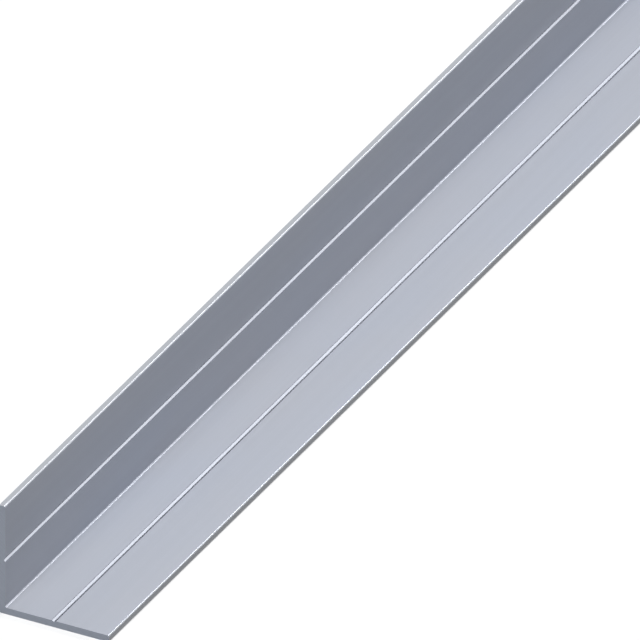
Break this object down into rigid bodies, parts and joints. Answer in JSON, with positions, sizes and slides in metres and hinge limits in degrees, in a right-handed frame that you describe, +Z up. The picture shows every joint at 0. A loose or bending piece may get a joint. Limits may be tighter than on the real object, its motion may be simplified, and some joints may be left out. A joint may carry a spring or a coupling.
{
  "type": "metal angle section",
  "caption": "Straight length of thin-walled equal-leg aluminium angle with a fine marking groove down each inner face.",
  "frame": {"origin": "underside of the lying leg, midway across it and midway along the bar", "axes": "+X across the lying leg from the standing leg to the toe, +Y along the bar, +Z up along the standing leg"},
  "size_m": [0.025, 1, 0.025],
  "materials": {
    "anodised_aluminium": "natural satin anodised, as extruded, with sawn ends"
  },
  "bodies": {
    "root": {"angle_section": "anodised_aluminium"}
  },
  "joints": []
}
